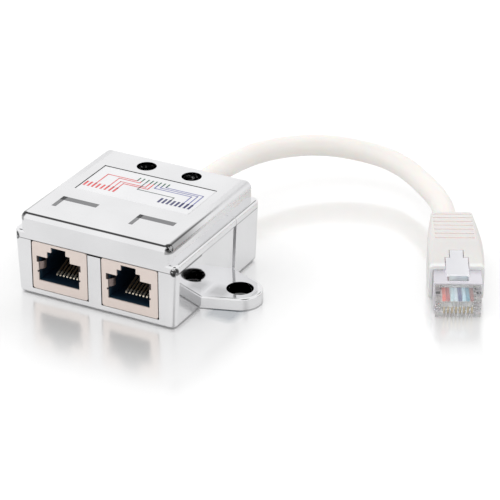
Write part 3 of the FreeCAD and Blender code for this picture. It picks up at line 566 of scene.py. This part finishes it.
def add_piece(name, mesh, finish):
    """A new object in its finish that rides on the box."""
    piece = bpy.data.objects.new(name, mesh)
    scene.collection.objects.link(piece)
    mesh.materials.append(finish)
    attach(piece, "adapter")
    return piece


def tab_surface(wall):
    """x = wall + bow * sin(pi * u), y = front + length * u, z = foot + height * v, in mm."""
    u, v = np.meshgrid(np.linspace(0, 1, TAB_ROWS), np.linspace(0, 1, TAB_COLUMNS), indexing="ij")
    return np.stack([wall + TAB_BOW * np.sin(np.pi * u), TAB_FRONT + TAB_LENGTH * u,
                     TAB_FOOT + TAB_HEIGHT * v], axis=-1) * MM


tab_steel, tree, shader = material("tab_steel", Metallic=0.7, Roughness=0.35)
mottled(tree, shader, 1800.0, (0.20, 0.15, 0.135), (0.34, 0.27, 0.25))
for side, middle in SOCKET_MIDDLES:
    strip = grid_mesh(side + "_earthing_tab", tab_surface(middle - TAB_FROM_MIDDLE))
    tab = add_piece(side + "_earthing_tab", strip, tab_steel)
    tab.modifiers.new("thickness", "SOLIDIFY").thickness = TAB_THICKNESS * MM
print("two earthing tabs")

# %% [markdown]
# The spring contacts and the plug's blades are gilded. Where the bend of a spring looks out of the
# socket it catches the light, and its long rising end lies in the shade, so the gilding carries a
# painted highlight on the bend and painted shade on the rest. The blades lie open to the light and
# have one tone.

# %% Gold
SPRING_BEND = {"y": (-18.4, -17.2, 0.6)}
gilt, tree, shader = material("gold_plating", Metallic=0.75, Roughness=0.28)
shaded = mottled(tree, shader, 2000.0, (0.36, 0.25, 0.16), (0.50, 0.37, 0.24))
bend = inside(tree, place_mm(tree), SPRING_BEND)
# Painted highlight on the bend, over the painted shade of the rest.
feed(tree, shader, Base_Color=blend(tree, bend, shaded, (0.95, 0.86, 0.70, 1)))
dress(gilt, "left_jack_contacts", "right_jack_contacts")

blade_gilt, tree, shader = material("blade_gilt", Metallic=0.8, Roughness=0.25)
mottled(tree, shader, 2000.0, (0.70, 0.60, 0.42), (0.86, 0.77, 0.60))
dress(blade_gilt, "plug_contacts")
print("springs and blades gilded")

# %% [markdown]
# A white film lies in the lid's shallow bed and carries a wiring diagram: eight pins at the top,
# eight in each lower corner, and lines that lead from one to the other. It could be painted by
# nodes, but drawn ink keeps clean edges from near by. Every stroke is a narrow upright or level
# ribbon, so all strokes of a colour are one mesh of rectangles a hair above the film.

# %% Strokes of the diagram
INK_LEVEL = 22.87
STROKE, THIN_STROKE = 0.2, 0.16
RED_PIN, NAVY_PIN = 0.3, 0.34
LOW_PINS_FOOT, LOW_PINS_HEAD, TOP_PINS_FOOT, TOP_PINS_HEAD = -0.9, 1.8, 7.8, 9.8
WIRE_HEAD, WIRE_FOOT = 7.9, 1.4
TOP_PINS = np.array([-4.70, -3.45, -2.09, -0.84, 0.30, 1.55, 2.80, 4.05])
LEFT_PINS = np.array([-16.07, -14.82, -13.57, -12.32, -10.95, -9.70, -8.34, -7.09])
RIGHT_PINS = np.array([6.43, 7.68, 8.93, 10.18, 11.43, 12.68, 14.05, 15.30])


def pin_strokes(places, low, high, half):
    """One upright rectangle (left, low, right, high) round each place, in mm."""
    ones = np.ones_like(places)
    return np.stack([places - half, low * ones, places + half, high * ones], axis=1)


def wire_strokes(starts, levels, ends):
    """Three rectangles a wire: down from its pin, level across, and down to its other pin."""
    levels, half = np.array(levels), THIN_STROKE
    head, foot = np.full_like(starts, WIRE_HEAD), np.full_like(starts, WIRE_FOOT)
    down = np.stack([starts - half, levels, starts + half, head], axis=1)
    across = np.stack([np.minimum(starts, ends) - half, levels - half,
                       np.maximum(starts, ends) + half, levels + half], axis=1)
    down_again = np.stack([ends - half, foot, ends + half, levels], axis=1)
    return np.concatenate([down, across, down_again])


def ink_mesh(name, strokes):
    """Four corners for each rectangle, all at one level."""
    corners = strokes[:, [0, 1, 2, 1, 2, 3, 0, 3]].reshape(-1, 4, 2)
    points = np.concatenate([corners, np.full((*corners.shape[:2], 1), INK_LEVEL)], axis=2) * MM
    mesh = bpy.data.meshes.new(name)
    mesh.from_pydata(points.reshape(-1, 3).tolist(), [],
                     np.arange(len(points) * 4).reshape(-1, 4).tolist())
    mesh.update()
    return mesh


print("pins in rows of", len(TOP_PINS), len(LEFT_PINS), len(RIGHT_PINS))

# %% [markdown]
# The film is satin white, and each ink is a finish of its own with a little of the film's paleness
# in it. The left pins and their lines are red, the right pins navy with blue lines, the pins at the
# top green, and one line is grey. Pins that belong to no line stay alone, as on the real label.

# %% Label film and ink
film_white, tree, shader = material("label_film", Roughness=0.3)
mottled(tree, shader, 900.0, (0.83, 0.83, 0.845), (0.89, 0.89, 0.90))
dress(film_white, "wiring_label")


def ink(name, pigment, strokes):
    """All the strokes of one colour, with a little of the film showing through."""
    made, tree, shader = material(name, Roughness=0.45)
    mottled(tree, shader, 2600.0, pigment, (0.8, 0.8, 0.8), highest=0.2)
    add_piece(name, ink_mesh(name, strokes), made)


ink("diagram_red", (0.78, 0.01, 0.015), np.concatenate([
    pin_strokes(LEFT_PINS, LOW_PINS_FOOT, LOW_PINS_HEAD, RED_PIN),
    wire_strokes(TOP_PINS[[0, 1, 3, 4]], [7.77, 6.98, 5.39, 4.59], LEFT_PINS[[2, 5, 6, 7]])]))
ink("diagram_navy", (0.01, 0.012, 0.12),
    pin_strokes(RIGHT_PINS, LOW_PINS_FOOT, LOW_PINS_HEAD, NAVY_PIN))
ink("diagram_blue", (0.14, 0.15, 0.42),
    wire_strokes(TOP_PINS[[5, 6, 7]], [5.95, 6.86, 7.66], RIGHT_PINS[[5, 6, 7]]))
ink("diagram_grey", (0.12, 0.15, 0.14), wire_strokes(TOP_PINS[[2]], [3.34], RIGHT_PINS[[2]]))
ink("diagram_green", (0.01, 0.12, 0.06),
    pin_strokes(TOP_PINS, TOP_PINS_FOOT, TOP_PINS_HEAD, STROKE))
print("diagram of 24 pins and 8 lines")

# %% [markdown]
# The jacket, the gland and the boot are soft off-white vinyl, a little translucent, with a satin
# skin. The jacket and the gland glow a little of their own, painted light for the light that passes
# through them. The boot has pinkish grip grooves across its back half and a whiter rim in front,
# placed by the plug's own frame.

# %% Soft plastics
GROOVE_START, GROOVE_PITCH = 20.975, 2.25
GROOVES = {"row": (0.34, 0.66, 0.14), "along": (21.4, 36.3, 0.1), "height": (7.6, 20.0, 0.5),
           "aside": (-1.0, 5.2, 0.3)}
BOOT_RIM = {"along": (9.0, 10.2, 0.8)}

# Painted light: a faint glow of its own on the jacket and the gland.
vinyl, tree, shader = material("lead_vinyl", Roughness=0.36, Subsurface_Weight=0.25,
                               Subsurface_Scale=0.002, Coat_Weight=0.15,
                               Emission_Color=(1, 0.975, 0.94, 1), Emission_Strength=0.07)
mottled(tree, shader, 700.0, (0.86, 0.83, 0.79), (0.90, 0.87, 0.835), 0.1)
dress(vinyl, "lead", "cable_gland")

boot_vinyl, tree, shader = material("boot_vinyl", Roughness=0.4, Subsurface_Weight=0.15,
                                    Subsurface_Scale=0.002)
at = place_on_plug(tree)
at["row"] = repeat(tree, at["along"], GROOVE_START, GROOVE_PITCH)
boot = mottled(tree, shader, 800.0, (0.78, 0.76, 0.745), (0.83, 0.81, 0.795), 0.12)
boot = blend(tree, inside(tree, at, GROOVES), boot, (0.93, 0.875, 0.855, 1))
boot = blend(tree, inside(tree, at, BOOT_RIM), boot, (0.93, 0.925, 0.915, 1))
feed(tree, shader, Base_Color=boot)
dress(boot_vinyl, "plug_boot")
print("soft plastics on the lead, gland and boot")

# %% [markdown]
# The plug's can is bright folded sheet with a cool cast. Its nose is clear plastic that is frosted
# on top, and dark streaks are painted at both sides, a painted refraction of its inner slots. It
# glows a little, painted light, and the steep side of the frosted latch glows more, a painted
# highlight where a real moulding gathers light at its edges.

# %% Can, nose and latch
STREAK_START, STREAK_PITCH = -0.5, 1.9
STREAKS = {"row": (0.1, 0.5, 0.15), "along": (3.0, 9.0, 0.5), "aside": (4.3, 5.6, 0.2)}
FROSTED_TOP = {"height": (7.7, 12.0, 0.3)}
LATCH_LEVEL_FACE = (0.7, 2.0, 0.3)

plug_tin, tree, shader = material("plug_sheet", Metallic=0.55, Roughness=0.26)
mottled(tree, shader, 1300.0, (0.70, 0.68, 0.73), (0.80, 0.78, 0.83), 0.2)
dress(plug_tin, "plug_shield")

clear, tree, shader = material("clear_plastic", Roughness=0.05, Transmission_Weight=0.93, IOR=1.2,
                               Emission_Strength=0.06)
at = place_on_plug(tree)
at["row"] = repeat(tree, at["along"], STREAK_START, STREAK_PITCH)
streaks = inside(tree, at, STREAKS)
nose = mottled(tree, shader, 500.0, (0.95, 0.96, 0.955), (0.99, 0.99, 0.985), 0.15)
# Painted refraction: dark streaks at the nose's sides; painted light: the rest of the nose glows.
feed(tree, shader, Base_Color=blend(tree, streaks, nose, grey(0.02)),
     Emission_Color=blend(tree, streaks, grey(1.0), grey(0.0)),
     Roughness=ease(tree, inside(tree, at, FROSTED_TOP), 0.0, 1.0, 0.06, 0.35))
dress(clear, "plug_body")

frosted, tree, shader = material("latch_plastic", Roughness=0.3, Transmission_Weight=0.2, IOR=1.4,
                                 Emission_Strength=1.0)
steep = inverse(tree, between(tree, upward(tree), *LATCH_LEVEL_FACE))
mottled(tree, shader, 500.0, (0.80, 0.80, 0.83), (0.88, 0.88, 0.90), 0.15)
# Painted highlight: the latch's steep faces glow.
feed(tree, shader, Emission_Color=blend(tree, steep, grey(0.0), grey(0.32)))
dress(frosted, "plug_latch")
print("can, nose and latch dressed")

# %% [markdown]
# Through the nose show the eight insulated wires, one colour each. They are one solid, so a ramp
# across the plug colours them, with a flat step for each wire. The wires on the board inside the
# box have the same colours across the box.

# %% Wires and board
WIRE_COLOURS = ((0.75, 0.06, 0.03), (0.38, 0.01, 0.02), (0.50, 0.70, 0.76), (0.62, 0.74, 0.82),
                (0.005, 0.03, 0.20), (0.45, 0.68, 0.80), (0.06, 0.28, 0.40), (0.24, 0.02, 0.02))
PLUG_ROW_WIDTH, BOARD_ROW_WIDTH = 8.16, 9.6


def wire_ramp(tree, across, width):
    """One flat colour for each wire of a row of this width about the middle."""
    made = node(tree, "ValToRGB", {0: maths(tree, "ADD", maths(tree, "DIVIDE", across, width), 0.5)})
    stops = made.color_ramp.elements
    made.color_ramp.interpolation = "CONSTANT"
    for index, pigment in enumerate(WIRE_COLOURS):
        start = index / len(WIRE_COLOURS)
        stop = stops[index] if index < 2 else stops.new(start)
        stop.position, stop.color = start, (*pigment, 1)
    return made.outputs[0]


def insulate(tree, shader, ramp):
    """The wires' colours with a faint pale sheen over them."""
    sheen = use(tree, skin, Scale=900.0, Lowest=0.0, Highest=0.12)
    feed(tree, shader, Base_Color=blend(tree, sheen["Tone"], ramp, grey(0.9)))


# Painted light: the wires in the plug glow a little in their own colours.
insulation, tree, shader = material("plug_wires", Roughness=0.35, Emission_Strength=0.16)
ramp = wire_ramp(tree, place_on_plug(tree)["across"], PLUG_ROW_WIDTH)
insulate(tree, shader, ramp)
feed(tree, shader, Emission_Color=ramp)
dress(insulation, "plug_conductors")

board_insulation, tree, shader = material("board_wires_vinyl", Roughness=0.35)
insulate(tree, shader, wire_ramp(tree, place_mm(tree)["x"], BOARD_ROW_WIDTH))
dress(board_insulation, "board_wires")

laminate, tree, shader = material("laminate", Roughness=0.45)
mottled(tree, shader, 1500.0, (0.012, 0.09, 0.035), (0.03, 0.15, 0.06))
dress(laminate, "circuit_board")
print("wires and board dressed")

# %% [markdown]
# The object stands on a white glossy table. The floor glows a little for the camera, so that open
# floor is pure white and only the shade close to the object stays. It mirrors softly, and less the
# further a point is from the box, the plug or the ring where the lead's reflection lies, as a table
# seen through a graded light does. One white lamp throws too faint a shade, so more is painted on
# the floor: painted shade wide round the box and deep and a little blue beside the right ear,
# painted shade and reflection before the plug, and a painted reflection of the lead on the ring
# where its reflection lies. Only camera rays see that part, so that the chrome doesn't mirror it.
# Inside the ear holes no light reaches the floor, so it is painted black there: painted shade.

# %% Floor
FLOOR_LOW, FLOOR_HIGH, FLOOR_DROP = -0.2, 0.24, 0.2 * MM
BOX_MIDDLE, BOX_HALF = (0.0, 0.0), (23.0, 22.6)
PLUG_MIDDLE, PLUG_HALF = (0.0, 14.0), (5.5, 22.0)
EAR_MIDDLE, EAR_HALF = (29.5, -0.4), (7.0, 6.0)
SHADE_MIDDLE, SHADE_HALF = (4.0, -10.0), (21.0, 22.6)
RING_MIDDLE, RING_RADIUS, RING_FRONT = (40.0, 27.5), 32.0, 24.0

floor_mesh = bpy.data.meshes.new("floor")
floor_mesh.from_pydata([(FLOOR_LOW, FLOOR_LOW, 0), (FLOOR_HIGH, FLOOR_LOW, 0),
                        (FLOOR_HIGH, FLOOR_HIGH, 0), (FLOOR_LOW, FLOOR_HIGH, 0)], [],
                       [(0, 1, 2, 3)])
floor = bpy.data.objects.new("floor", floor_mesh)
floor.location.z = -FLOOR_DROP
scene.collection.objects.link(floor)
floor_paint, tree, shader = material("floor_paint")
tree.nodes.remove(shader)


def outside(tree, places, middle, half):
    """Distance from a point to a rectangle, from how far it is over its side and its end."""
    over = [most(tree, minus(tree, size(tree, minus(tree, place, centre)), reach), 0.0)
            for place, centre, reach in zip(places, middle, half)]
    return diagonal(tree, *over)


at, on_plug = place_mm(tree), place_on_plug(tree)
near_box = outside(tree, (at["x"], at["y"]), BOX_MIDDLE, BOX_HALF)
near_plug = outside(tree, (on_plug["across"], on_plug["along"]), PLUG_MIDDLE, PLUG_HALF)
near_ear = outside(tree, (at["aside"], at["y"]), EAR_MIDDLE, EAR_HALF)
near_shade = outside(tree, (at["x"], at["y"]), SHADE_MIDDLE, SHADE_HALF)
ring = diagonal(tree, minus(tree, at["x"], RING_MIDDLE[0]), minus(tree, at["y"], RING_MIDDLE[1]))
near_lead = most(tree, size(tree, minus(tree, ring, RING_RADIUS)),
                 minus(tree, RING_FRONT, at["y"]))
print("floor knows its distance from the box, the plug, an ear and the lead's reflection")

# %% [markdown]
# The floor's shader adds the glow to a plain white and mixes in the mirror by its share. The painted
# shade and reflection are taken off both the white and the glow, since both make the paleness that
# the camera sees. Each graded value is named with the distances in millimetres where it starts and
# ends, and with what it is there.

# %% The floor's shader
OPEN_MIRROR = 0.22
BOX_MIRROR = (0.0, 34.0, 0.5, OPEN_MIRROR, "SMOOTHSTEP")
PLUG_MIRROR = (0.0, 34.0, 0.26, OPEN_MIRROR, "SMOOTHSTEP")
LEAD_MIRROR = (5.0, 22.0, 0.42, OPEN_MIRROR, "SMOOTHSTEP")
MIRROR_SOFTNESS = (5.0, 22.0, 0.1, 0.2)
# Painted shade, and painted reflection of the plug and the lead, graded by distance.
WIDE_SHADE = (0.0, 31.0, 0.21, 0.0)
PAINTED_LEAD_REFLECTION = (3.0, 12.0, 0.06, 0.0)
EAR_SHADE = (3.0, 9.0, 0.7, 0.0, "SMOOTHSTEP")
BESIDE_EAR = {"x": (27.0, 33.0, 3.0), "y": (-60.0, -5.0, 3.0)}
BEFORE_PLUG = {"aside": (-1.0, 5.0, 2.0), "along": (-13.0, 8.0, 17.0)}
BEFORE_PLUG_SHADE_AND_REFLECTION, EAR_SHADE_BLUE = 0.15, 0.05
SHAFT_RADIUS = 3.5
FLOOR_WHITE, FLOOR_GLOW = 0.8, 0.31

seen_directly = node(tree, "LightPath").outputs["Is Camera Ray"]
share = most(tree, ease(tree, near_box, *BOX_MIRROR), ease(tree, near_plug, *PLUG_MIRROR),
             ease(tree, near_lead, *LEAD_MIRROR))
# Painted shade round the box, painted shade and reflection before the plug, painted reflection of the
# lead.
painted_shade_and_reflection = most(tree, ease(tree, near_shade, *WIDE_SHADE), ease(tree, near_lead, *PAINTED_LEAD_REFLECTION),
              product(tree, inside(tree, on_plug, BEFORE_PLUG), BEFORE_PLUG_SHADE_AND_REFLECTION))
contact = product(tree, ease(tree, near_ear, *EAR_SHADE), inside(tree, at, BESIDE_EAR),
                  seen_directly)
pale = inverse(tree, most(tree, contact, product(tree, painted_shade_and_reflection, seen_directly)))
cast = product(tree, contact, EAR_SHADE_BLUE)
cool = colour(tree, minus(tree, pale, cast), pale, maths(tree, "ADD", pale, cast))
# Painted shade: the floor inside the ear holes is black.
shaft = between(tree, from_axes(tree, at, EAR_AXES), -1.0, SHAFT_RADIUS, 0.1)
open_floor = inverse(tree, shaft)
white = node(tree, "VectorMath", {0: cool, "Scale": FLOOR_WHITE}, operation="SCALE").outputs[0]
plain = node(tree, "BsdfDiffuse", {"Color": blend(tree, shaft, white, grey(0.0))})
glow = node(tree, "Emission", {"Color": cool,
                               "Strength": product(tree, seen_directly, FLOOR_GLOW, open_floor)})
lit = node(tree, "AddShader", {0: plain.outputs[0], 1: glow.outputs[0]})
mirror = node(tree, "BsdfGlossy", {"Color": grey(1.0),
                                   "Roughness": ease(tree, near_lead, *MIRROR_SOFTNESS)})
polished = node(tree, "MixShader", {0: product(tree, share, open_floor), 1: lit.outputs[0],
                                    2: mirror.outputs[0]})
tree.links.new(polished.outputs[0], tree.nodes["Material Output"].inputs[0])
floor_mesh.materials.append(floor_paint)
print("floor is plain white, glow and mirror")

# %% [markdown]
# The room is a white tent. For mirrors only it has three dark patches: the gap in the tent's roof,
# the camera's own side and a screen at the back. Chrome needs something dark to show where it
# bends. One large lamp above gives the soft shapes their modelling, and mirrors don't show it.

# %% Room and lamp
DARK_PATCHES = {
    "roof": ((-0.42, 0.10, 0.90), 13, 22, 0.93),
    "camera_side": ((0.54, -0.36, 0.69), 12, 22, 0.97),
    "back_screen": ((0.13, 0.78, 0.61), 5, 13, 0.7),
}
SEEN_STRENGTH, LIGHT_STRENGTH = 1.0, 0.82
LAMP_PLACE, LAMP_WIDTH, LAMP_WATTS = Vector((-0.3, -0.1, 0.8)), 1.0, 2.2

world = bpy.data.worlds.new("room")
scene.world = world
world.use_nodes = True
tree = world.node_tree
backdrop = tree.nodes["Background"]
heading = node(tree, "TexCoord").outputs["Generated"]
rays = node(tree, "LightPath").outputs


def patch(direction, inner, outer, depth):
    """The depth within the inner angle of a direction, 0 beyond the outer angle, in degrees."""
    nearness = node(tree, "VectorMath", {0: heading, 1: Vector(direction).normalized()},
                    operation="DOT_PRODUCT").outputs["Value"]
    edge, core = math.cos(math.radians(outer)), math.cos(math.radians(inner))
    return product(tree, ease(tree, nearness, edge, core, kind="SMOOTHSTEP"), depth)


dark = most(tree, *(patch(*values) for values in DARK_PATCHES.values()))
shade = product(tree, dark, rays["Is Glossy Ray"])
seen = most(tree, rays["Is Camera Ray"], rays["Is Glossy Ray"])
tree.links.new(blend(tree, shade, grey(1.0), grey(0.0)), backdrop.inputs["Color"])
tree.links.new(ease(tree, seen, 0.0, 1.0, LIGHT_STRENGTH, SEEN_STRENGTH),
               backdrop.inputs["Strength"])
lamp = bpy.data.objects.new("lamp", bpy.data.lights.new("lamp", "AREA"))
lamp.data.shape, lamp.data.size, lamp.data.energy = "DISK", LAMP_WIDTH, LAMP_WATTS
lamp.location = LAMP_PLACE
lamp.rotation_euler = (-LAMP_PLACE).to_track_quat("-Z", "Y").to_euler()
lamp.visible_glossy = False
scene.collection.objects.link(lamp)
print("room with", len(DARK_PATCHES), "dark patches and one lamp")
